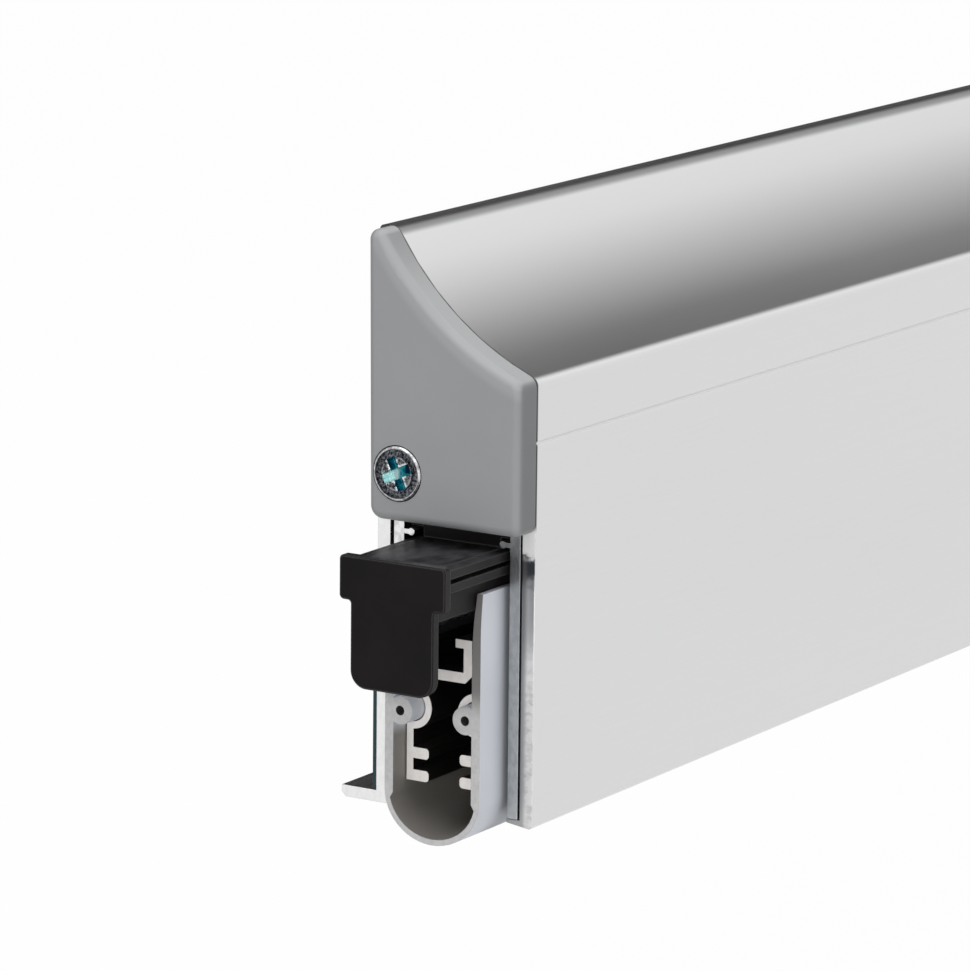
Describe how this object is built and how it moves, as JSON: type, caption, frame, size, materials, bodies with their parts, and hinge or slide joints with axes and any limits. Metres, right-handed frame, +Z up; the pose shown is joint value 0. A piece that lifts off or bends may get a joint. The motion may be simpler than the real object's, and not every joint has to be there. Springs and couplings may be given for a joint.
{
  "type": "automatic door bottom seal",
  "caption": "Face-mounted automatic door bottom: aluminium cover over a housing channel; pressing the side plunger drops a soft U seal by levers, a spring lifts it again.",
  "frame": {"origin": "on the door's face, at the middle of the row of door screw holes", "axes": "+X along the profile away from the plunger end, +Y into the door, +Z up"},
  "size_m": [0.4763, 0.0229, 0.062],
  "materials": {
    "satin_aluminium": "satin anodised, brushed lengthways",
    "mill_aluminium": "natural extrusion finish",
    "grey_plastic": "fine matt moulded grey",
    "black_plastic": "satin moulded black",
    "white_plastic": "plain moulded",
    "grey_rubber": "soft matt, light grey",
    "dark_foam": "soft foam tape",
    "zinc_steel": "zinc plated",
    "bright_steel": "drawn and ground",
    "spring_steel": "drawn wire"
  },
  "bodies": {
    "housing": {"base_plate": "mill_aluminium", "cover": "satin_aluminium", "housing_channel": "mill_aluminium", "gasket_tape": "dark_foam", "left_end_cap": "grey_plastic", "right_end_cap": "grey_plastic", "end_cap_screws": "zinc_steel", "housing_screws": "zinc_steel", "left_bearing_block": "white_plastic", "right_bearing_block": "white_plastic", "bearing_pins": "bright_steel", "return_spring": "spring_steel"},
    "pusher": {"plunger": "black_plastic", "push_rod": "bright_steel", "lock_nut": "zinc_steel", "set_screws": "zinc_steel", "left_slide_block": "white_plastic", "right_slide_block": "white_plastic", "slide_pins": "bright_steel"},
    "seal_bar": {"carrier": "mill_aluminium", "seal": "grey_rubber", "left_hanger_block": "white_plastic", "right_hanger_block": "white_plastic", "hanger_pins": "bright_steel"},
    "left_lever": {"left_long_lever": "zinc_steel"},
    "right_lever": {"right_long_lever": "zinc_steel"},
    "left_fork": {"left_link_fork": "zinc_steel", "left_fork_pin": "bright_steel"},
    "right_fork": {"right_link_fork": "zinc_steel", "right_fork_pin": "bright_steel"}
  },
  "joints": [
    {"name": "seal_drop", "type": "slide", "parent": "housing", "child": "seal_bar", "axis": [0, 0, -1], "range_m": [0, 0.012], "stiffness_N_per_m": 8, "springref_m": -0.1275},
    {"name": "plunger_slide", "type": "slide", "parent": "housing", "child": "pusher", "axis": [1, 0, 0], "range_m": [0, 0.00349], "stiffness_N_per_m": 700, "springref_m": -0.0025, "deforming": ["return_spring"]},
    {"name": "left_lever_swing", "type": "hinge", "parent": "seal_bar", "child": "left_lever", "pos_m": [-0.13, -0.00945, -0.0247], "axis": [0, 1, 0], "range_deg": [0, 19.99]},
    {"name": "left_fork_swing", "type": "hinge", "parent": "housing", "child": "left_fork", "pos_m": [-0.13, -0.00945, -0.0208], "axis": [0, -1, 0], "range_deg": [0, 19.99]},
    {"name": "right_lever_swing", "type": "hinge", "parent": "seal_bar", "child": "right_lever", "pos_m": [0.13, -0.00945, -0.0247], "axis": [0, 1, 0], "range_deg": [0, 19.99]},
    {"name": "right_fork_swing", "type": "hinge", "parent": "housing", "child": "right_fork", "pos_m": [0.13, -0.00945, -0.0208], "axis": [0, -1, 0], "range_deg": [0, 19.99]}
  ],
  "couplings": [
    {"joint": "plunger_slide", "follows": "seal_drop", "ratio": 0.29081},
    {"joint": "left_lever_swing", "follows": "seal_drop", "rad_per_m": 29.076},
    {"joint": "left_fork_swing", "follows": "seal_drop", "rad_per_m": 29.076},
    {"joint": "right_lever_swing", "follows": "seal_drop", "rad_per_m": 29.076},
    {"joint": "right_fork_swing", "follows": "seal_drop", "rad_per_m": 29.076}
  ]
}
